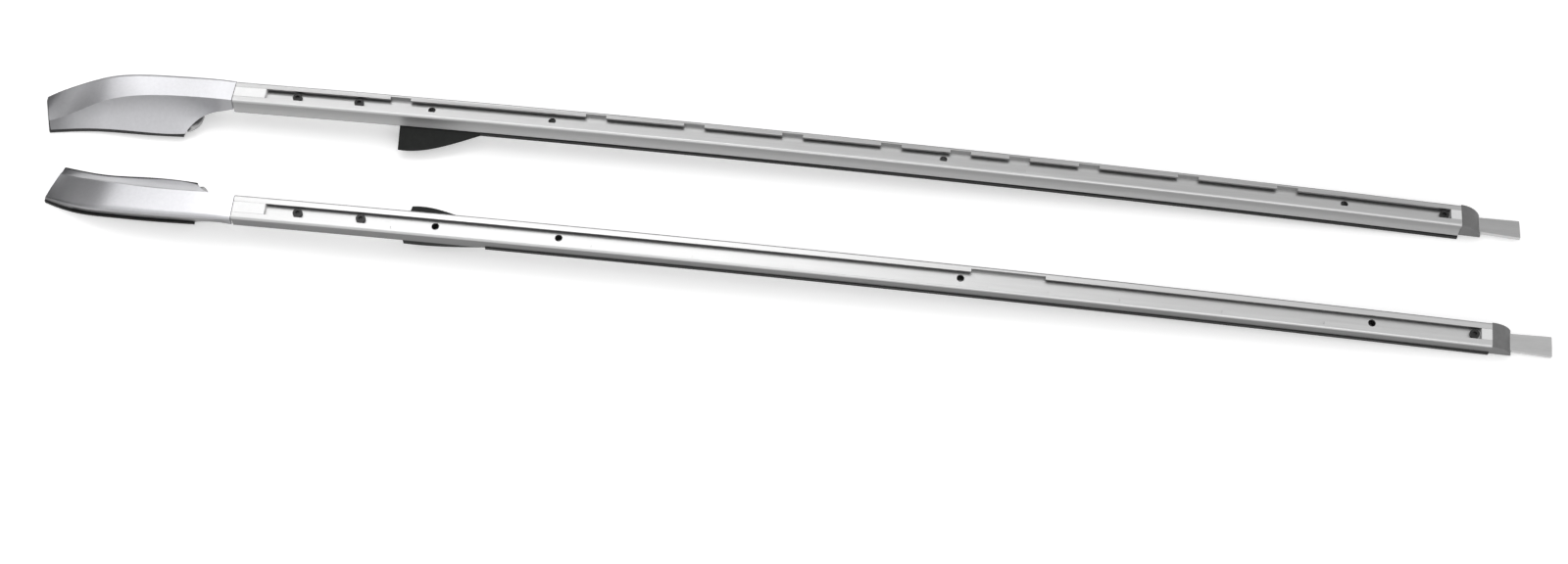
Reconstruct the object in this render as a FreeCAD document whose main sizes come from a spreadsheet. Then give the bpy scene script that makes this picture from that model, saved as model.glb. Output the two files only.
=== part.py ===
import FreeCAD, Part
import Sketcher
import math
import os

# Pair of roof rack side rails, left and right hand, in millimetres with +Z up.
# Stations run along a rail from the foot towards the tang.
# In a rail's own frame y points outboard and z is measured up from the rail's top.

doc = FreeCAD.newDocument("side_rails")
sheet = doc.addObject("Spreadsheet::Sheet", "Sizes")
V = FreeCAD.Vector


# A size carries its number and the expression that binds it to the sheet
class Dim:
    def __init__(self, value, text):
        self.value = value
        self.text = text

    def join(self, other, sign, value):
        return Dim(value, "(" + self.text + " " + sign + " " + other.text + ")")

    def __add__(self, other):
        other = dim(other)
        return self.join(other, "+", self.value + other.value)

    def __sub__(self, other):
        other = dim(other)
        return self.join(other, "-", self.value - other.value)

    def __mul__(self, other):
        other = dim(other)
        return self.join(other, "*", self.value * other.value)

    def __truediv__(self, other):
        other = dim(other)
        return self.join(other, "/", self.value / other.value)

    def __neg__(self):
        return Dim(-self.value, "(0 - " + self.text + ")")


def dim(number):
    if isinstance(number, Dim):
        return number
    return Dim(float(number), "(" + repr(float(number)) + ")")


def sine(angle):
    return Dim(math.sin(math.radians(angle.value)), "sin(" + angle.text + " * 1deg)")


def cosine(angle):
    return Dim(math.cos(math.radians(angle.value)), "cos(" + angle.text + " * 1deg)")


rows = []


def size(alias, value):
    rows.append(alias)
    row = str(len(rows))
    sheet.set("A" + row, alias.replace("_", " "))
    sheet.set("B" + row, str(value))
    sheet.setAlias("B" + row, alias)
    return Dim(float(value), "Sizes." + alias)


# How the rails stand and lie beside each other
crown_radius = size("crown_radius", 25000)
crown_station = size("crown_station", 1000)
lean_angle = size("lean_angle", 5.5)
pitch_angle = size("pitch_angle", 0.56)
top_height = size("top_height", 54.9)
rail_spacing = size("rail_spacing", 184)
pair_stagger = size("pair_stagger", 36)

# Stations along the rail
nose_station = size("nose_station", -15.5)
heel_station = size("heel_station", 184)
seam_station = size("seam_station", 252)
seam_gap = size("seam_gap", 0.9)
rail_length = size("rail_length", 1669)
filler_length = size("filler_length", 43)
screw_station_front = size("screw_station_front", 339)
screw_station_rear = size("screw_station_rear", 424)
support_start = size("support_start", 481)
support_length = size("support_length", 111)
bolt_station_a = size("bolt_station_a", 524)
bolt_station_b = size("bolt_station_b", 689)
bolt_station_c = size("bolt_station_c", 1222)
window_station = size("window_station", 1284)
notch_pitch = size("notch_pitch", 134)

# Distances from the rail's rear end
bolt_setback_d = size("bolt_setback_d", 157)
stop_length = size("stop_length", 14)
tang_hold = size("tang_hold", 59)
tang_screw_setback = size("tang_screw_setback", 22.5)
tang_reach = size("tang_reach", 83)

slot_start = seam_station + filler_length
support_end = support_start + support_length
rail_end = seam_station + rail_length
bolt_station_d = rail_end - bolt_setback_d
stop_station = rail_end - stop_length
tang_start = rail_end - tang_hold
tang_screw_station = rail_end - tang_screw_setback
tang_end = rail_end + tang_reach

# Rail section
rail_width = size("rail_width", 35)
rail_height = size("rail_height", 26)
wall = size("wall", 2.5)
edge_radius = size("edge_radius", 3)
side_hollow = size("side_hollow_radius", 60)
slot_width = size("slot_width", 16)
slot_depth = size("slot_depth", 6.5)
lip_thickness = size("lip_thickness", 2.5)
undercut = size("undercut", 4.5)
floor_thickness = size("floor_thickness", 3)
bolt_hole = size("bolt_hole", 10)
screw_size = size("screw_size", 8)
screw_clearance = size("screw_clearance", 0.5)
notch_length = size("notch_length", 28)
window_length = size("window_length", 98)
pair_notch_offset = size("pair_notch_offset", 40)

# Pieces in and under the rail
fit_gap = size("fit_gap", 0.25)
screw_head_width = size("screw_head_width", 13)
screw_head_height = size("screw_head_height", 4)
socket_width = size("socket_width", 6)
socket_depth = size("socket_depth", 2.5)
neck_start = size("neck_start", 172)
neck_width = size("neck_width", 22)
tongue_start = size("tongue_start", 254)
tongue_end = size("tongue_end", 446)
strip_lip = size("strip_lip", 1.2)
strip_lip_inboard = size("strip_lip_inboard", 8)
strip_lip_outboard = size("strip_lip_outboard", 1.5)
strip_bevel = size("strip_bevel", 10)
strip_inboard = size("strip_inboard", 2)
strip_outboard = size("strip_outboard", 3.5)
rail_bevel = size("rail_bevel", 5)
cap_length = size("cap_length", 29)
cap_drop = size("cap_drop", 18)
cap_shoulder = size("cap_shoulder", 3)
tang_root_width = size("tang_root_width", 24)
tang_tip_width = size("tang_tip_width", 28)
tang_thickness = size("tang_thickness", 5.5)

# Foot
gasket_thickness = size("gasket_thickness", 4)
gasket_proud = size("gasket_proud", 2)
seat_gap = size("seat_gap", 0.15)
cover_wall = size("cover_wall", 3)
arch_height = size("arch_height", 25)
arch_length = size("arch_length", 48)
nose_skew = size("nose_skew", 17.5)
heel_skew = size("heel_skew", 8)
insert_width = size("insert_width", 14)
insert_height = size("insert_height", 14)
insert_thread = size("insert_thread", 8)
insert_station_front = size("insert_station_front", 108)
insert_station_rear = size("insert_station_rear", 158)
block_start = size("block_start", 92)
block_end = size("block_end", 196)
block_inboard = size("block_inboard", 3)
block_outboard = size("block_outboard", 19)
block_height = size("block_height", 35)
insert_offset = size("insert_offset", 8)

# Foot sections from nose to heel, measured from the floor and the rail's centre line: set back from the nose,
# base height, inboard bottom, inboard top, its height, crease, its height, outboard bottom, corner radius, flank radius
FOOT = [
    ("a", 0, 0, 10.8, 12, 7.6, 53, 8.2, 64.3, 1.2, 200),
    ("b", 23.5, 0.8, 3, 3, 17.6, 48, 12.1, 61.2, 3, 120),
    ("c", 51.5, 1.8, -2.6, -6.5, 26.5, 39.5, 21.9, 57.2, 5, 90),
    ("d", 90.5, 3.8, -5.1, -14.5, 39.1, 28, 37.6, 54.7, 6, 85),
    ("e", 135.5, 6.3, -6.7, -18, 45.8, 20.5, 46.8, 55.4, 6, 90),
    ("f", 195.5, 7.5, -6, -19, 49, 17.6, 51.7, 53.8, 6, 100),
]

# Mid support sections: set back from its front, outboard edge, its depth below the rail's top, inboard edge, its depth
SUPPORT = [
    ("a", 0, 44, 43.5, 18.5, 29.5),
    ("b", 36, 42, 42, 18.5, 29.5),
    ("c", 70, 32, 38.5, 17, 29),
]

half = rail_width / 2
slot_half = slot_width / 2
cavity_half = slot_half + undercut
chamber_top = slot_depth + floor_thickness
chamber_bottom = rail_height - wall
chamber_half = half - wall
frame_shift = crown_station - (nose_station + tang_end) / 2


# Placement of the section plane at a station: the rail is crowned about an axis far below it
def crown(station):
    angle = (station.value - crown_station.value) / crown_radius.value
    base = V(crown_radius.value * math.sin(angle), 0, crown_radius.value * (math.cos(angle) - 1))
    return FreeCAD.Placement(base, FreeCAD.Rotation(V(0, 1, 0), math.degrees(angle)))


SECTION = FreeCAD.Placement(V(0, 0, 0), FreeCAD.Rotation(V(1, 1, 1), 120))
PROFILE = FreeCAD.Placement(V(0, 0, 0), FreeCAD.Rotation(V(1, 0, 0), 90))
to_floor = FreeCAD.Placement(
    V(frame_shift.value + pair_stagger.value / 2, -rail_spacing.value / 2, 0), FreeCAD.Rotation())
stand = FreeCAD.Placement(V(0, 0, top_height.value), FreeCAD.Rotation(V(0, 1, 0), pitch_angle.value))
lean = FreeCAD.Placement(V(0, 0, 0), FreeCAD.Rotation(V(1, 0, 0), lean_angle.value))
to_rail = to_floor.multiply(stand).multiply(lean)


# Floor frame of the foot: x from the crown station, y from the rail's centre line, z from the floor
def along(station):
    return station - crown_station


# Centre of the circle of the given radius through two points, on the left of the way between them
def arc_centre(start, end, radius):
    middle = (start + end) * 0.5
    way = end - start
    rise = math.sqrt(max(radius * radius - way.Length * way.Length / 4, 0))
    left = V(-way.y, way.x, 0)
    left.normalize()
    return middle + left * rise


# A closed outline in a sketch: points are pairs of sizes, arcs give a radius for the edge that starts there,
# positive to bulge outwards on an anticlockwise outline and negative to bulge inwards
def outline(sketch, points, arcs=None):
    arcs = arcs or {}
    places = [V(p[0].value, p[1].value, 0) for p in points]
    edges = []
    for i, place in enumerate(places):
        following = places[(i + 1) % len(places)]
        if i not in arcs:
            edges.append((sketch.addGeometry(Part.LineSegment(place, following)), 1, 2))
            continue
        radius = arcs[i]
        if radius.value > 0:
            centre = arc_centre(place, following, radius.value)
            first, last = place, following
            ends = (1, 2)
        else:
            centre = arc_centre(following, place, -radius.value)
            first, last = following, place
            ends = (2, 1)
        circle = Part.Circle(centre, V(0, 0, 1), abs(radius.value))
        begin = math.atan2(first.y - centre.y, first.x - centre.x)
        finish = math.atan2(last.y - centre.y, last.x - centre.x)
        edges.append((sketch.addGeometry(Part.ArcOfCircle(circle, begin, finish)),) + ends)
    for i, (edge, begin, finish) in enumerate(edges):
        following, start, unused = edges[(i + 1) % len(edges)]
        sketch.addConstraint(Sketcher.Constraint("Coincident", edge, finish, following, start))
    for i, (edge, begin, finish) in enumerate(edges):
        for kind, value in (("DistanceX", points[i][0]), ("DistanceY", points[i][1])):
            index = sketch.addConstraint(Sketcher.Constraint(kind, -1, 1, edge, begin, value.value))
            sketch.setExpression("Constraints[" + str(index) + "]", value.text)
    for i in arcs:
        radius = arcs[i] if arcs[i].value > 0 else -arcs[i]
        index = sketch.addConstraint(Sketcher.Constraint("Radius", edges[i][0], radius.value))
        sketch.setExpression("Constraints[" + str(index) + "]", radius.text)


def sketch(name, placement):
    made = doc.addObject("Sketcher::SketchObject", name)
    made.Placement = placement
    return made


# Sweep of a section along the crowned rail
def sweep(name, section, length):
    made = doc.addObject("Part::Revolution", name)
    made.Source = section
    made.Base = V(0, 0, -crown_radius.value)
    made.setExpression(".Base.z", "0 - " + crown_radius.text)
    made.Axis = V(0, 1, 0)
    made.Solid = True
    made.FaceMakerClass = "Part::FaceMakerBullseye"
    made.setExpression("Angle", (length / crown_radius * (180 / math.pi)).text)
    return made


def extrude(name, section, length, direction, symmetric=False):
    made = doc.addObject("Part::Extrusion", name)
    made.Base = section
    made.DirMode = "Custom"
    made.Dir = direction
    made.Solid = True
    made.Symmetric = symmetric
    made.FaceMakerClass = "Part::FaceMakerBullseye"
    made.setExpression("LengthFwd", length.text)
    return made


def loft(name, sections, ruled=False):
    made = doc.addObject("Part::Loft", name)
    made.Sections = sections
    made.Solid = True
    made.Ruled = ruled
    return made


def cylinder(name, diameter, height, placement):
    made = doc.addObject("Part::Cylinder", name)
    made.setExpression("Radius", (diameter / 2).text)
    made.setExpression("Height", height.text)
    made.Placement = placement
    return made


def box(name, length, width, height, placement):
    made = doc.addObject("Part::Box", name)
    made.setExpression("Length", length.text)
    made.setExpression("Width", width.text)
    made.setExpression("Height", height.text)
    made.Placement = placement
    return made


def fuse(name, shapes):
    made = doc.addObject("Part::MultiFuse", name)
    made.Shapes = shapes
    return made


def cut(name, base, tool):
    made = doc.addObject("Part::Cut", name)
    made.Base = base
    made.Tool = tool
    return made


def gather(name, shapes):
    made = doc.addObject("Part::Compound", name)
    made.Links = shapes
    return made


# A point on the rail's own frame as a placement: station along, outboard across, height from the rail's top
def on_rail(station, across, height):
    return crown(station).multiply(FreeCAD.Placement(V(0, across.value, height.value), FreeCAD.Rotation()))


pieces = {}


# Finish a piece of the near rail: its label, and its place in the shared frame
def finish(label, made, placement):
    made.Label = "right_" + label
    made.Placement = placement
    pieces[label] = made


zero = dim(0)

# Rail: T-slot on top, hollow chamber below
section = sketch("RailSection", crown(seam_station).multiply(SECTION))
outline(section, [
    (half, edge_radius - rail_height),
    (half, -edge_radius),
    (half - edge_radius, zero),
    (slot_half, zero),
    (slot_half, -lip_thickness),
    (cavity_half, -lip_thickness),
    (cavity_half, -slot_depth),
    (-cavity_half, -slot_depth),
    (-cavity_half, -lip_thickness),
    (-slot_half, -lip_thickness),
    (-slot_half, zero),
    (edge_radius - half, zero),
    (-half, -edge_radius),
    (-half, rail_bevel - rail_height),
    (rail_bevel - half, -rail_height),
    (half - edge_radius, -rail_height),
], {0: -side_hollow, 1: edge_radius, 11: edge_radius, 15: edge_radius})
outline(section, [
    (-chamber_half, rail_bevel - chamber_bottom),
    (rail_bevel - chamber_half, -chamber_bottom),
    (chamber_half, -chamber_bottom),
    (chamber_half, -chamber_top),
    (-chamber_half, -chamber_top),
])
rail_blank = sweep("RailBlank", section, rail_end - seam_station)

# Holes through the rail: bolts to the roof, and the pieces' own screws
below = -(rail_height + wall)
through = rail_height
cutters = []
for name, station in (("A", bolt_station_a), ("B", bolt_station_b), ("C", bolt_station_c), ("D", bolt_station_d)):
    cutters.append(cylinder("BoltHole" + name, bolt_hole, through, on_rail(station, zero, below)))
for name, station in (("Front", screw_station_front), ("Rear", screw_station_rear), ("Tang", tang_screw_station)):
    cutters.append(cylinder("ScrewHole" + name, screw_size + screw_clearance, floor_thickness * 2,
                            on_rail(station, zero, -slot_depth - floor_thickness * 1.5)))

# Locating notches in the inboard lip at a steady pitch, a pair at the loading window
steps = (-6, -4, -3, -2, -1, 1, 2, 3)
notches = [window_station + notch_pitch * step for step in steps]
notches += [window_station - pair_notch_offset, window_station + pair_notch_offset]
for number, station in enumerate(notches):
    place = on_rail(station - notch_length / 2, -cavity_half, -lip_thickness * 1.5)
    cutters.append(box("Notch" + str(number), notch_length, undercut + slot_half / 2, lip_thickness * 2, place))

# Loading window in the outboard lip
place = on_rail(window_station - window_length / 2, slot_half / 2, -lip_thickness * 1.5)
cutters.append(box("Window", window_length, undercut + slot_half / 2, lip_thickness * 2, place))
finish("rail", cut("Rail", rail_blank, fuse("RailCuts", cutters)), to_rail)


# T-shaped section that fills the slot
def slot_section(name, station):
    made = sketch(name, crown(station).multiply(SECTION))
    neck = slot_half - fit_gap
    wing = cavity_half - fit_gap
    under = -lip_thickness - fit_gap
    outline(made, [
        (-wing, -slot_depth),
        (wing, -slot_depth),
        (wing, under),
        (neck, under),
        (neck, zero),
        (-neck, zero),
        (-neck, under),
        (-wing, under),
    ])
    return made


# Filler between the foot cover and the open slot, and the stop at the rear end
filler = sweep("SlotFiller", slot_section("FillerSection", seam_station), slot_start - seam_station)
finish("slot_filler", filler, to_rail)
stop = sweep("SlotStop", slot_section("StopSection", stop_station), rail_end - stop_station)
finish("slot_stop", stop, to_rail)


# Socket screw standing on the slot floor; its shank reaches down to the given depth
def screw(name, station, reach):
    head = cylinder(name + "Head", screw_head_width, screw_head_height, on_rail(station, zero, -slot_depth))
    shank = cylinder(name + "Shank", screw_size, reach - slot_depth, on_rail(station, zero, -reach))
    socket = cylinder(name + "Socket", socket_width, socket_depth + 1,
                      on_rail(station, zero, screw_head_height - slot_depth - socket_depth))
    return cut(name, fuse(name + "Body", [head, shank]), socket)


# Screws that hold the foot's tongue, and the one that holds the tang
front_screw = screw("FrontScrew", screw_station_front, chamber_bottom - 1)
rear_screw = screw("RearScrew", screw_station_rear, chamber_bottom - 1)
finish("foot_screws", gather("FootScrews", [front_screw, rear_screw]), to_rail)
finish("tang_screw", screw("TangScrew", tang_screw_station, chamber_bottom - 1), to_rail)

# Base strip: a wedge under the rail with lips up its sides, bevelled along its inboard edge
section = sketch("StripSection", crown(support_end).multiply(SECTION))
outer = half + strip_lip
side = half + fit_gap / 2
corner_drop = rail_bevel - fit_gap / 2
outline(section, [
    (strip_bevel - outer, -rail_height - strip_inboard),
    (outer, -rail_height - strip_outboard),
    (outer, strip_lip_outboard - rail_height),
    (side, strip_lip_outboard - rail_height),
    (side, -rail_height),
    (rail_bevel - side, -rail_height),
    (-side, corner_drop - rail_height),
    (-side, strip_lip_inboard - rail_height),
    (-outer, strip_lip_inboard - rail_height),
    (-outer, strip_lip_inboard - rail_height - strip_bevel * 0.6),
])
strip_blank = sweep("StripBlank", section, rail_end - support_end)
strip_holes = []
for name, station in (("B", bolt_station_b), ("C", bolt_station_c), ("D", bolt_station_d)):
    strip_holes.append(cylinder("StripHole" + name, bolt_hole, strip_outboard * 3,
                                on_rail(station, zero, -rail_height - strip_outboard * 2)))
finish("base_strip", cut("BaseStrip", strip_blank, fuse("StripHoles", strip_holes)), to_rail)

# Mid support: flares outboard under the rail and tapers into the base strip
rows_of_support = []
for name, setback, out, out_depth, inside, in_depth in SUPPORT:
    setback = size("support_" + name + "_setback", setback)
    out = size("support_" + name + "_outboard", out)
    out_depth = size("support_" + name + "_outboard_depth", out_depth)
    inside = size("support_" + name + "_inboard", inside)
    in_depth = size("support_" + name + "_inboard_depth", in_depth)
    rows_of_support.append((support_start + setback, out, out_depth, inside, in_depth))
rows_of_support.append((support_end, outer, rail_height + strip_outboard, outer - strip_bevel / 2,
                        rail_height + strip_inboard))
sections = []
for number, (station, out, out_depth, inside, in_depth) in enumerate(rows_of_support):
    made = sketch("Support" + str(number), crown(station).multiply(SECTION))
    outline(made, [
        (-half, rail_bevel - rail_height),
        (-inside, -in_depth),
        (out, -out_depth),
        (half, -rail_height),
        (rail_bevel - half, -rail_height),
    ])
    sections.append(made)
support_blank = loft("SupportBlank", sections)
support_hole = cylinder("SupportHole", bolt_hole, rail_height, on_rail(bolt_station_a, zero, -rail_height * 1.9))
finish("mid_support", cut("MidSupport", support_blank, support_hole), to_rail)

# Tang: a flat bar on the chamber's bevel that widens to its tip behind the rail
root_half = tang_root_width / 2
tip_half = tang_tip_width / 2
bar_bottom = root_half - chamber_half + rail_bevel + fit_gap - chamber_bottom
bar_top = bar_bottom + tang_thickness
plan = sketch("TangPlan", on_rail(rail_end, zero, bar_bottom))
outline(plan, [
    (-tang_hold, -root_half),
    (cap_length, -root_half),
    (tang_reach, -tip_half),
    (tang_reach, tip_half),
    (cap_length, root_half),
    (-tang_hold, root_half),
])
bar = extrude("TangBar", plan, tang_thickness, crown(rail_end).Rotation.multVec(V(0, 0, 1)))
tang_hole = cylinder("TangHole", screw_size, tang_thickness * 3,
                     on_rail(tang_screw_station, zero, -chamber_bottom - tang_thickness))
finish("tang", cut("Tang", bar, tang_hole), to_rail)

# End cap: closes the rail's end, rounded down at the rear, open below for the tang
profile = sketch("CapProfile", crown(rail_end).multiply(PROFILE))
cap_bottom = bar_bottom
outline(profile, [
    (zero, cap_bottom),
    (cap_length, cap_bottom),
    (cap_length, -cap_drop),
    (cap_shoulder, zero),
    (zero, zero),
], {2: cap_length * 1.15})
cap_blank = extrude("CapBlank", profile, rail_width, V(0, 1, 0), True)
cap_slot = box("CapSlot", cap_length * 3, tang_root_width + fit_gap * 2, rail_height,
               on_rail(rail_end - cap_length, -root_half - fit_gap, bar_top + fit_gap - rail_height))
finish("end_cap", cut("EndCap", cap_blank, cap_slot), to_rail)

# Foot cover: outer and inner lofts on the floor frame
foot_rows = []
flank_top = half * cosine(lean_angle)
flank_lift = half * sine(lean_angle)
seam_away = along(seam_station)
seam_height = top_height - seam_away * sine(pitch_angle) - seam_away * seam_away / crown_radius / 2
for name, setback, base, low_in, top_in, high_in, crease, high_crease, low_out, corner, flank in FOOT:
    label = "foot_" + name
    setback = size(label + "_setback", setback)
    base = size(label + "_base", base)
    low_in = size(label + "_inboard", low_in)
    top_in = size(label + "_inboard_top", top_in)
    high_in = size(label + "_inboard_height", high_in)
    crease = size(label + "_crease", crease)
    high_crease = size(label + "_crease_height", high_crease)
    low_out = size(label + "_outboard", low_out)
    corner = size(label + "_corner_radius", corner)
    flank = size(label + "_flank_radius", flank)
    foot_rows.append((nose_station + setback, base, low_in, top_in, high_in, crease, high_crease, low_out, corner, flank))

# The last section meets the leaning rail
seam_corner = size("foot_seam_corner_radius", 4)
seam_flank = size("foot_seam_flank_radius", 900)
seam_inboard = size("foot_seam_inboard", -15)
seam_outboard = size("foot_seam_outboard", 4)
heel_row = foot_rows[-1]
heel_base = heel_row[1]
heel_outboard = heel_row[7]
foot_rows.append((seam_station - seam_gap, heel_base, seam_inboard, -flank_top, seam_height - flank_lift, flank_top,
                  seam_height + flank_lift, flank_top + seam_outboard, seam_corner, seam_flank))


def foot_plane(station):
    return FreeCAD.Placement(V(along(station).value, 0, 0), FreeCAD.Rotation()).multiply(SECTION)


def foot_outline(name, row, inset, depth):
    station, base, low_in, top_in, high_in, crease, high_crease, low_out, corner, flank = row
    made = sketch(name, foot_plane(station))
    outline(made, [
        (low_in + inset, base + depth),
        (low_out - inset * 1.6, base + depth),
        (crease - inset * 0.8, high_crease - inset),
        (top_in + corner + inset * 0.4, high_in - inset),
        (top_in + inset, high_in - corner - inset * 0.6),
    ], {1: -flank, 3: corner})
    return made


outer_sections = []
inner_sections = []
for number, row in enumerate(foot_rows):
    outer_sections.append(foot_outline("FootOuter" + str(number), row, zero, gasket_thickness + seat_gap))
    if number > 1:
        inner_sections.append(foot_outline("FootInner" + str(number), row, cover_wall, -gasket_thickness))
cover_outer = loft("CoverOuter", outer_sections)
cover_inner = loft("CoverInner", inner_sections)

# Arch behind the heel, cut at a slant so that the inboard side reaches further back
heel_place = FreeCAD.Placement(V(along(heel_station).value, heel_outboard.value, heel_base.value),
                               FreeCAD.Rotation(V(0, 0, 1), heel_skew.value))
arch = sketch("ArchProfile", heel_place.multiply(PROFILE))
arch_radius = (arch_length * arch_length + arch_height * arch_height) / (arch_height * 2)
arch_end = seam_station - heel_station + arch_height
outline(arch, [
    (zero, -arch_height),
    (arch_end, -arch_height),
    (arch_end, arch_height),
    (arch_length, arch_height),
    (zero, zero),
], {3: arch_radius})
arch_way = heel_place.Rotation.multVec(V(0, 1, 0))
arch_cut = extrude("ArchCut", arch, rail_width * 6, arch_way, True)

# Skewed cut along the front edge of the nose
nose_place = FreeCAD.Placement(V(along(nose_station).value, foot_rows[0][2].value - gasket_proud.value, 0),
                               FreeCAD.Rotation(V(0, 0, 1), -nose_skew.value))


def nose_box(name, proud):
    corner = V(-rail_width.value * 2 - proud.value, -rail_width.value, -rail_width.value)
    return box(name, rail_width * 2, rail_width * 4, rail_width * 2,
               nose_place.multiply(FreeCAD.Placement(corner, FreeCAD.Rotation())))


cover_cuts = fuse("CoverCuts", [cover_inner, arch_cut, nose_box("NoseCut", zero)])
finish("foot_cover", cut("FootCover", cover_outer, cover_cuts), to_floor)

# Gasket under the foot, a little proud all round
gasket_rows = foot_rows[:-1] + [(seam_station,) + heel_row[1:]]
gasket_sections = []
for number, row in enumerate(gasket_rows):
    station, base, low_in, low_out = row[0], row[1], row[2], row[7]
    made = sketch("GasketSection" + str(number), foot_plane(station))
    outline(made, [
        (low_in - gasket_proud, base),
        (low_out + gasket_proud, base),
        (low_out + gasket_proud, base + gasket_thickness),
        (low_in - gasket_proud, base + gasket_thickness),
    ])
    gasket_sections.append(made)
gasket_blank = loft("GasketBlank", gasket_sections)
heel_trim = box("HeelTrim", rail_width * 4, rail_width * 6, rail_width * 2, heel_place.multiply(
    FreeCAD.Placement(V(gasket_proud.value, -rail_width.value * 3, -rail_width.value), FreeCAD.Rotation())))

# Threaded inserts in the bracket, reached through holes in the gasket
seat = heel_base + gasket_thickness + seat_gap
gasket_cuts = [heel_trim, nose_box("GasketTrim", gasket_proud)]
inserts = []
blind = []
for name, station in (("Front", insert_station_front), ("Rear", insert_station_rear)):
    spot = V(along(station).value, insert_offset.value, 0)
    on_seat = FreeCAD.Placement(spot + V(0, 0, seat.value), FreeCAD.Rotation())
    gasket_cuts.append(cylinder("GasketHole" + name, insert_width, seat, FreeCAD.Placement(spot, FreeCAD.Rotation())))
    body = cylinder("InsertBody" + name, insert_width, insert_height, on_seat)
    bore = cylinder("InsertBore" + name, insert_thread, insert_height, on_seat)
    inserts.append(cut("Insert" + name, body, bore))
    blind.append(cylinder("BlockHole" + name, insert_width, insert_height, on_seat))
finish("foot_gasket", cut("FootGasket", gasket_blank, fuse("GasketCuts", gasket_cuts)), to_floor)
finish("foot_inserts", gather("FootInserts", inserts), to_floor)

# Bracket: a block inside the cover with a tongue that runs into the rail's chamber
block = box("BracketBlock", block_end - block_start, block_inboard + block_outboard, block_height - seat,
            FreeCAD.Placement(V(along(block_start).value, -block_inboard.value, seat.value), FreeCAD.Rotation()))
tongue_half = chamber_half - fit_gap
tongue_height = chamber_bottom - rail_bevel - chamber_top - fit_gap * 2
tongue_middle = (seam_station + tongue_end) / 2
tongue_place = stand.multiply(lean).multiply(crown(tongue_middle))


def tongue_bar(name, start, end, across):
    corner = V((start - tongue_middle).value, -across.value, (fit_gap + rail_bevel - chamber_bottom).value)
    return box(name, end - start, across * 2, tongue_height,
               tongue_place.multiply(FreeCAD.Placement(corner, FreeCAD.Rotation())))


neck = tongue_bar("Neck", neck_start, tongue_start + tongue_height, neck_width / 2)
tongue = tongue_bar("Tongue", tongue_start, tongue_end, tongue_half)
tongue_holes = []
for name, station in (("Front", screw_station_front), ("Rear", screw_station_rear)):
    spot = stand.multiply(lean).multiply(on_rail(station, zero, -rail_height))
    tongue_holes.append(cylinder("TongueHole" + name, screw_size, rail_height, spot))
bracket = cut("FootBracket", fuse("BracketBody", [block, neck, tongue]), fuse("BracketHoles", blind + tongue_holes))
finish("foot_bracket", bracket, to_floor)

doc.recompute()

# The left rail is the mirror image, laid a little further forward
for label in list(pieces):
    made = doc.addObject("Part::Mirroring", "Left" + label.title().replace("_", ""))
    made.Source = pieces[label]
    made.Normal = V(0, 1, 0)
    made.Label = "left_" + label
    made.Placement = FreeCAD.Placement(V(-pair_stagger.value, 0, 0), FreeCAD.Rotation())
    pieces["left_" + label] = made

doc.recompute()

for item in doc.Objects:
    if "Invalid" in item.State or "Error" in item.State:
        raise RuntimeError(item.Label + " did not build: " + str(item.State))

os.makedirs("parts", exist_ok=True)
for label in pieces:
    piece = pieces[label]
    if piece.Shape.isNull() or not piece.Shape.isValid():
        raise RuntimeError(piece.Label + " has no valid shape")
    piece.Shape.exportStep("parts/" + piece.Label + ".step")
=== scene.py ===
import math

import bmesh
import bpy
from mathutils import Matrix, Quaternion, Vector


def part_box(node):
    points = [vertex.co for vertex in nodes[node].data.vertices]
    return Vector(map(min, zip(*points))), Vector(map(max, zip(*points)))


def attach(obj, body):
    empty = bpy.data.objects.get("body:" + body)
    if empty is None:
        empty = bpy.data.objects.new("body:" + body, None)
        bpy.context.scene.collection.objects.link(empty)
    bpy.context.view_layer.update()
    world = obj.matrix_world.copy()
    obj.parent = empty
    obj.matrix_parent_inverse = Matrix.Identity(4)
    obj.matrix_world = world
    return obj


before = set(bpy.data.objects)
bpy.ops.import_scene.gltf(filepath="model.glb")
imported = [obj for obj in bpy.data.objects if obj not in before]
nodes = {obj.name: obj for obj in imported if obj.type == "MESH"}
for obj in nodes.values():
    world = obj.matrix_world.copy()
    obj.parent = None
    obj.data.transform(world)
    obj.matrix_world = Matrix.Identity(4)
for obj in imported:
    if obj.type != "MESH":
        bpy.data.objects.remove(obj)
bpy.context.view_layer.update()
scene = bpy.context.scene

# Sizes in metres and angles in degrees
# Length of the painted shade behind each foot's nose
NOSE_SHADE_REACH = 0.1
BEAD_RADIUS = 0.0014
BEAD_INBOARD = 0.0945
LUG_HEIGHT = 0.0055
LUG_ROUNDING = 0.001
LUG_BACK = -0.850
LUG_OUTBOARD = 0.049
LUG_INBOARD = 0.093
LUG_CENTRE = (-0.824, 0.068)
LUG_RADII = (0.0205, 0.026)
LUG_END = 75
LUG_STEPS = 20
FLOOR_HALF = 20
CAMERA_ELEVATION = 59.955
CAMERA_AZIMUTH = 5.076
CAMERA_ROLL = 1.091
CAMERA_TARGET = (0.01339, -0.09654, 0.0)
CAMERA_DISTANCE = 3.5364


# Node helpers
def new_material(name):
    material = bpy.data.materials.new(name)
    material.use_nodes = True
    tree = material.node_tree
    shader = tree.nodes["Principled BSDF"]
    return material, tree, shader


def add(tree, kind, **values):
    node = tree.nodes.new(kind)
    for key, value in values.items():
        setattr(node, key, value)
    return node


# Object coordinates in metres, stretched for grain that runs along the rail
def coordinates(tree, scale):
    source = add(tree, "ShaderNodeTexCoord")
    mapping = add(tree, "ShaderNodeMapping")
    mapping.inputs["Scale"].default_value = scale
    tree.links.new(source.outputs["Object"], mapping.inputs["Vector"])
    return mapping.outputs["Vector"]


def noise(tree, vector, scale, detail=4.0, roughness=0.6):
    node = add(tree, "ShaderNodeTexNoise")
    node.inputs["Scale"].default_value = scale
    node.inputs["Detail"].default_value = detail
    node.inputs["Roughness"].default_value = roughness
    tree.links.new(vector, node.inputs["Vector"])
    return node.outputs["Fac"]


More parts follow.
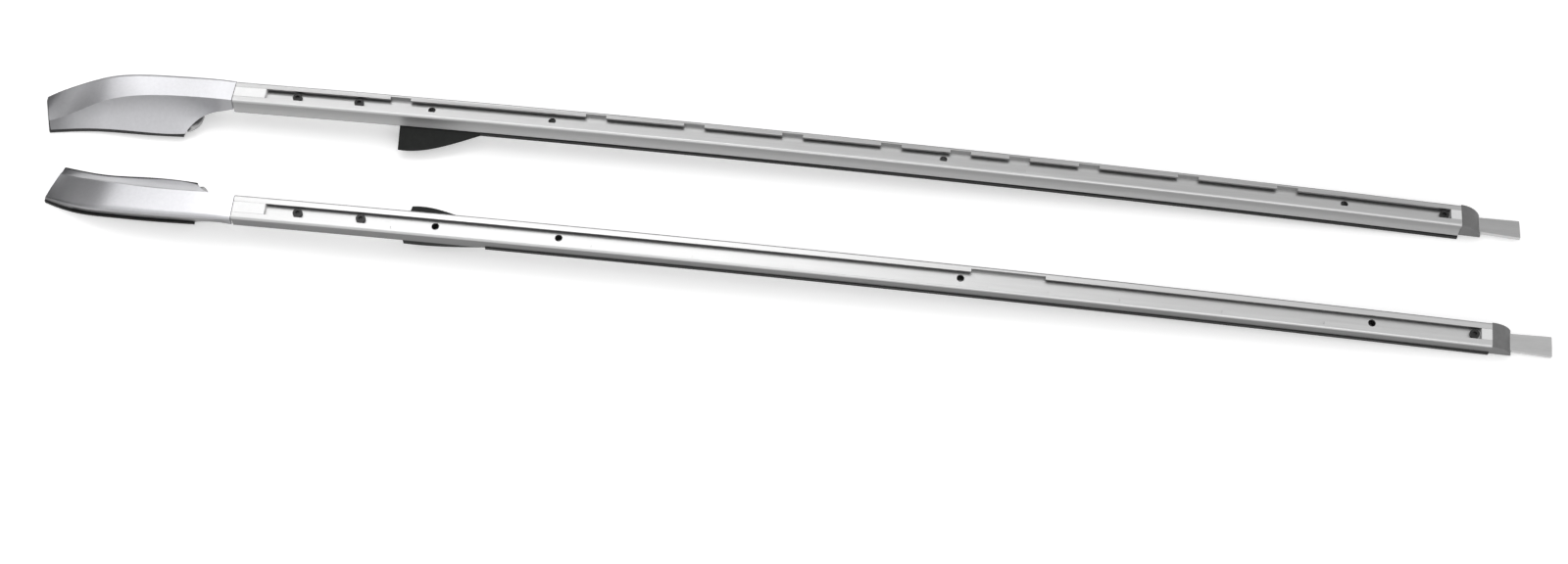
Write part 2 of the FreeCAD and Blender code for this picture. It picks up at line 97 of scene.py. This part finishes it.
def ramp(tree, factor, stops):
    node = add(tree, "ShaderNodeValToRGB")
    elements = node.color_ramp.elements
    while len(elements) < len(stops):
        elements.new(0.5)
    for element, (place, colour) in zip(elements, stops):
        element.position = place
        element.color = (*colour, 1.0)
    tree.links.new(factor, node.inputs["Fac"])
    return node.outputs["Color"]


def spread(tree, factor, low, high):
    node = add(tree, "ShaderNodeMapRange")
    node.inputs["To Min"].default_value = low
    node.inputs["To Max"].default_value = high
    tree.links.new(factor, node.inputs["Value"])
    return node.outputs["Result"]


def bump(tree, shader, height, strength, distance):
    node = add(tree, "ShaderNodeBump")
    node.inputs["Strength"].default_value = strength
    node.inputs["Distance"].default_value = distance
    tree.links.new(height, node.inputs["Height"])
    tree.links.new(node.outputs["Normal"], shader.inputs["Normal"])


def grey(value, tint=(1.0, 1.0, 1.0)):
    return tuple(value * t for t in tint)


# Multiplies a colour by a painted shade
def multiply(tree, colour, painted_shade):
    mix = add(tree, "ShaderNodeMix", data_type="RGBA", blend_type="MULTIPLY")
    mix.inputs["Factor"].default_value = 1.0
    tree.links.new(colour, mix.inputs["A"])
    tree.links.new(painted_shade, mix.inputs["B"])
    return mix.outputs["Result"]


# Painted shade: faces that turn sideways or down are darkened in the base colour, by the height of
# their normal
def paint_facing_shade(tree, colour, stops):
    geometry = add(tree, "ShaderNodeNewGeometry")
    parts = add(tree, "ShaderNodeSeparateXYZ")
    tree.links.new(geometry.outputs["Normal"], parts.inputs["Vector"])
    reach = add(tree, "ShaderNodeMapRange")
    reach.inputs["From Min"].default_value = -1.0
    tree.links.new(parts.outputs["Z"], reach.inputs["Value"])
    shade_stops = [((1.0 + z) / 2.0, grey(value)) for z, value in stops]
    return multiply(tree, colour, ramp(tree, reach.outputs["Result"], shade_stops))


# Painted shade: the foot's colour is darkened over the first stretch behind its nose, most of all
# on its sides
def shade_nose(tree, colour, nose, stops):
    source = add(tree, "ShaderNodeTexCoord")
    place = add(tree, "ShaderNodeSeparateXYZ")
    tree.links.new(source.outputs["Object"], place.inputs["Vector"])
    reach = add(tree, "ShaderNodeMapRange")
    reach.inputs["From Min"].default_value = nose
    reach.inputs["From Max"].default_value = nose + NOSE_SHADE_REACH
    tree.links.new(place.outputs["X"], reach.inputs["Value"])
    painted_shade = ramp(tree, reach.outputs["Result"], [(x, grey(value)) for x, value in stops])
    geometry = add(tree, "ShaderNodeNewGeometry")
    facing = add(tree, "ShaderNodeSeparateXYZ")
    tree.links.new(geometry.outputs["Normal"], facing.inputs["Vector"])
    aside = add(tree, "ShaderNodeMath", operation="ABSOLUTE")
    tree.links.new(facing.outputs["Y"], aside.inputs[0])
    weight = add(tree, "ShaderNodeMapRange")
    weight.inputs["From Min"].default_value = 0.1
    weight.inputs["From Max"].default_value = 0.4
    weight.inputs["To Min"].default_value = 0.75
    tree.links.new(aside.outputs[0], weight.inputs["Value"])
    mix = add(tree, "ShaderNodeMix", data_type="RGBA", blend_type="MULTIPLY")
    tree.links.new(weight.outputs["Result"], mix.inputs["Factor"])
    tree.links.new(colour, mix.inputs["A"])
    tree.links.new(painted_shade, mix.inputs["B"])
    return mix.outputs["Result"]


# One procedural finish: colour between two tones, roughness between two values, grain as bump.
# The facing-shade stops are painted shade by the height of the normal; nose is the x where the
# painted nose shade starts.
def finish(name, dark, light, rough, metallic, stretch, scale, grain, depth,
           tint=(1, 1, 1), coat=0.0, specular=0.5, facing_shade=None, nose=None):
    material, tree, shader = new_material(name)
    vector = coordinates(tree, stretch)
    broad = noise(tree, vector, scale * 0.12, 3.0)
    fine = noise(tree, vector, scale, 5.0, 0.7)
    mix = add(tree, "ShaderNodeMath", operation="MULTIPLY_ADD")
    mix.inputs[1].default_value = 0.5
    tree.links.new(fine, mix.inputs[0])
    half = add(tree, "ShaderNodeMath", operation="MULTIPLY")
    half.inputs[1].default_value = 0.5
    tree.links.new(broad, half.inputs[0])
    tree.links.new(half.outputs[0], mix.inputs[2])
    colour = ramp(tree, mix.outputs[0], [(0.3, grey(dark, tint)), (0.7, grey(light, tint))])
    if facing_shade:
        colour = paint_facing_shade(tree, colour, facing_shade)
    if nose is not None:
        colour = shade_nose(tree, colour, nose, nose_painted_shade)
    tree.links.new(colour, shader.inputs["Base Color"])
    tree.links.new(spread(tree, fine, rough[0], rough[1]), shader.inputs["Roughness"])
    bump(tree, shader, fine, grain, depth)
    shader.inputs["Metallic"].default_value = metallic
    shader.inputs["Coat Weight"].default_value = coat
    shader.inputs["Specular IOR Level"].default_value = specular
    return material


# The x of a foot cover's nose
def nose_of(name):
    return min(vertex.co.x for vertex in nodes[name].data.vertices)


along = (0.02, 1.0, 1.0)
even = (1.0, 1.0, 1.0)
# Painted shade for the rail and the foot covers: stops of normal height and tone
rail_facing_shade = [(-0.4, 0.12), (-0.2, 0.2), (-0.1, 0.3), (0.0, 0.46),
             (0.12, 0.56), (0.3, 0.74), (0.75, 0.9), (0.95, 1.0)]
cover_facing_shade = [(-0.4, 0.12), (-0.2, 0.2), (-0.07, 0.4), (0.07, 0.48),
              (0.45, 0.55), (0.7, 0.86), (0.95, 1.0)]
# Painted shade behind the foot's nose: stops of place along the stretch and tone
nose_painted_shade = [(0.0, 0.3), (0.25, 0.4), (0.5, 0.7), (0.9, 1.0)]
anodised = finish("anodised", 0.54, 0.62, (0.36, 0.48), 1.0, along, 1400.0, 0.12, 0.0002,
                  facing_shade=rail_facing_shade)
paint = ("silver_paint", 0.60, 0.68, (0.32, 0.40), 0.85, even, 1800.0, 0.05, 0.0001,
         (0.985, 0.985, 1.02), 0.25)
# The foot covers carry painted shade by facing and behind the nose
right_paint = finish(*paint, facing_shade=cover_facing_shade, nose=nose_of("right_foot_cover"))
left_paint = finish(*paint, facing_shade=cover_facing_shade, nose=nose_of("left_foot_cover"))
light_plastic = finish("light_plastic", 0.62, 0.70, (0.5, 0.62), 0.0, even, 900.0, 0.15, 0.0002)
white_plastic = finish("white_plastic", 0.82, 0.90, (0.5, 0.62), 0.0, even, 900.0, 0.15, 0.0002)
dark_plastic = finish("dark_plastic", 0.11, 0.15, (0.5, 0.62), 0.0, even, 1100.0, 0.25, 0.0003)
black_plastic = finish("black_plastic", 0.006, 0.013, (0.45, 0.6), 0.0, even, 1200.0, 0.35, 0.0004,
                       (0.94, 1.04, 0.97), specular=0.2)
rubber = finish("rubber", 0.012, 0.024, (0.6, 0.75), 0.0, even, 800.0, 0.25, 0.0003, specular=0.3)
black_steel = finish("black_steel", 0.02, 0.04, (0.35, 0.5), 0.6, even, 1500.0, 0.1, 0.0001)
plated = finish("plated_steel", 0.45, 0.58, (0.3, 0.42), 1.0, even, 1200.0, 0.08, 0.0001,
                (1.0, 0.99, 0.95))
mill = finish("mill_metal", 0.44, 0.55, (0.36, 0.5), 1.0, (0.04, 1.0, 1.0), 900.0, 0.15, 0.0002)
cast = finish("cast_metal", 0.34, 0.44, (0.5, 0.65), 0.9, even, 700.0, 0.4, 0.0004)

look = {
    "rail": anodised,
    "slot_filler": white_plastic,
    "slot_stop": light_plastic,
    "foot_screws": black_steel,
    "tang_screw": black_steel,
    "base_strip": rubber,
    "mid_support": black_plastic,
    "tang": mill,
    "end_cap": dark_plastic,
    "foot_gasket": rubber,
    "foot_inserts": plated,
    "foot_bracket": cast,
}
paints = {"right_foot_cover": right_paint, "left_foot_cover": left_paint}
for name, node in nodes.items():
    node.data.materials.clear()
    node.data.materials.append(paints.get(name) or look[name.split("_", 1)[1]])


# A piece of the scene's own on the fixed body
def add_piece(name, points, faces, material):
    mesh = bpy.data.meshes.new(name)
    mesh.from_pydata(points, [], faces)
    mesh.materials.append(material)
    made = bpy.data.objects.new(name, mesh)
    scene.collection.objects.link(made)
    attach(made, "root")
    return made


# The points of a gasket's top outer edges
def gasket_edges(node):
    work = bmesh.new()
    work.from_mesh(node.data)
    bmesh.ops.remove_doubles(work, verts=work.verts, dist=1e-6)
    work.normal_update()
    found = set()
    for edge in work.edges:
        heights = sorted(face.normal.z for face in edge.link_faces)
        if len(heights) == 2 and abs(heights[0]) < 0.5 and heights[1] > 0.85:
            found.update(tuple(vert.co) for vert in edge.verts)
    work.free()
    return [Vector(point) for point in sorted(found)]


# A round bead along a line of points
def bead(name, line, radius, material, sides=10):
    points = []
    faces = []
    for i, place in enumerate(line):
        ahead = (line[min(i + 1, len(line) - 1)] - line[max(i - 1, 0)]).normalized()
        across = ahead.cross(Vector((0, 0, 1))).normalized()
        up = across.cross(ahead)
        for k in range(sides):
            turn = 2 * math.pi * k / sides
            aside = across * (radius * math.cos(turn))
            points.append(place + aside + up * (radius * math.sin(turn)))
            if i:
                a = (i - 1) * sides + k
                b = (i - 1) * sides + (k + 1) % sides
                faces.append((a, b, b + sides, a + sides))
    last = (len(line) - 1) * sides
    faces.append(tuple(range(sides - 1, -1, -1)))
    faces.append(tuple(range(last, last + sides)))
    made = add_piece(name, points, faces, material)
    made.data.shade_smooth()


# A bead on the long inboard edge of each gasket's lip, clear of the holes
for side in ("right", "left"):
    edges = gasket_edges(nodes[side + "_foot_gasket"])
    line = [point for point in edges if abs(point.y) > BEAD_INBOARD]
    bead(side + "_gasket_bead", line, BEAD_RADIUS, rubber)

# The bracket's rounded lug, which shows behind the arch of each foot
bracket_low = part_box("left_foot_bracket")[0]
lug_low = bracket_low[2]


# The lug's outline at one height: it starts just behind the slanted edge of the arch
def lug_plan(edge, start, height):
    plan = [(LUG_BACK, LUG_OUTBOARD), (edge, LUG_OUTBOARD)]
    for step in range(LUG_STEPS + 1):
        turn = math.radians(start + (LUG_END - start) * step / LUG_STEPS)
        plan.append((LUG_CENTRE[0] + LUG_RADII[0] * math.cos(turn),
                     LUG_CENTRE[1] + LUG_RADII[1] * math.sin(turn)))
    plan.append((LUG_BACK, LUG_INBOARD))
    return [Vector((x, y, height)) for x, y in plan]


lower = lug_plan(-0.8235, -86, lug_low)
upper = lug_plan(-0.8185, -66, lug_low + LUG_HEIGHT)
count = len(lower)
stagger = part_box("right_foot_bracket")[0][0] - bracket_low[0]
for side in ("left", "right"):
    points = lower + upper
    if side == "right":
        points = [Vector((p.x + stagger, -p.y, p.z)) for p in lower[::-1] + upper[::-1]]
    faces = [tuple(range(count - 1, -1, -1)), tuple(range(count, 2 * count))]
    faces += [(k, (k + 1) % count, (k + 1) % count + count, k + count) for k in range(count)]
    lug = add_piece(side + "_bracket_lug", points, faces, cast)
    rounding = lug.modifiers.new("rounding", "BEVEL")
    rounding.width = LUG_ROUNDING
    rounding.segments = 2

# Floor
mesh = bpy.data.meshes.new("floor")
corners = [(x * FLOOR_HALF, y * FLOOR_HALF, 0) for x, y in ((-1, -1), (1, -1), (1, 1), (-1, 1))]
mesh.from_pydata(corners, [], [(0, 1, 2, 3)])
floor = bpy.data.objects.new("floor", mesh)
scene.collection.objects.link(floor)
material, tree, shader = new_material("pale_floor")
shader.inputs["Base Color"].default_value = (0.9, 0.9, 0.9, 1)
shader.inputs["Roughness"].default_value = 0.9
shader.inputs["Emission Color"].default_value = (1, 1, 1, 1)
path = add(tree, "ShaderNodeLightPath")
seen = add(tree, "ShaderNodeMath", operation="ADD")
tree.links.new(path.outputs["Is Camera Ray"], seen.inputs[0])
tree.links.new(path.outputs["Is Glossy Ray"], seen.inputs[1])
seen_through = add(tree, "ShaderNodeMath", operation="ADD", use_clamp=True)
tree.links.new(seen.outputs[0], seen_through.inputs[0])
tree.links.new(path.outputs["Is Transmission Ray"], seen_through.inputs[1])
tree.links.new(spread(tree, seen_through.outputs[0], 0.0, 0.3), shader.inputs["Emission Strength"])
mesh.materials.append(material)

# World: a soft room, bright overhead and towards the viewer, dark low down behind the rails
world = bpy.data.worlds.new("studio")
scene.world = world
world.use_nodes = True
sky = world.node_tree
background = sky.nodes["Background"]
direction = add(sky, "ShaderNodeTexCoord")
lean = add(sky, "ShaderNodeVectorMath", operation="DOT_PRODUCT")
lean.inputs[1].default_value = (0.45, -0.5, 0.75)
sky.links.new(direction.outputs["Generated"], lean.inputs[0])
shade = ramp(sky, lean.outputs["Value"], [
    (0.0, grey(0.05)), (0.1, grey(0.2)), (0.2, grey(0.75)), (0.35, grey(0.92)), (1.0, grey(0.92))])
sky.links.new(shade, background.inputs["Color"])


# Soft lamps
def lamp(name, place, aim, size, power):
    data = bpy.data.lights.new(name, "AREA")
    data.shape = "RECTANGLE"
    data.size = size[0]
    data.size_y = size[1]
    data.energy = power
    made = bpy.data.objects.new(name, data)
    scene.collection.objects.link(made)
    made.location = place
    made.rotation_mode = "QUATERNION"
    made.rotation_quaternion = (Vector(aim) - Vector(place)).to_track_quat("-Z", "Y")


lamp("overhead", (-0.65, 0.8, 2.4), (-0.3, 0.0, 0.0), (1.9, 1.1), 14)
lamp("front", (0.6, -2.2, 1.8), (0.0, 0.0, 0.0), (2.4, 1.0), 18)
lamp("back", (-1.6, 2.1, 2.4), (-0.8, 0.1, 0.0), (1.4, 0.7), 9)
lamp("side", (-2.4, 1.15, 1.8), (-0.9, 0.0, 0.03), (1.3, 0.7), 4)

# Camera at the photo's angle
elevation = math.radians(CAMERA_ELEVATION)
azimuth = math.radians(CAMERA_AZIMUTH)
roll = Quaternion((0, 0, 1), math.radians(CAMERA_ROLL))
level = math.cos(elevation)
back = Vector((math.sin(azimuth) * level, -math.cos(azimuth) * level, math.sin(elevation)))
data = bpy.data.cameras.new("camera")
data.sensor_width = 36.0
data.lens = 60.97
camera = bpy.data.objects.new("camera", data)
scene.collection.objects.link(camera)
camera.location = Vector(CAMERA_TARGET) + back * CAMERA_DISTANCE
camera.rotation_mode = "QUATERNION"
camera.rotation_quaternion = (-back).to_track_quat("-Z", "Y") @ roll
scene.camera = camera

scene.view_settings.view_transform = "Standard"
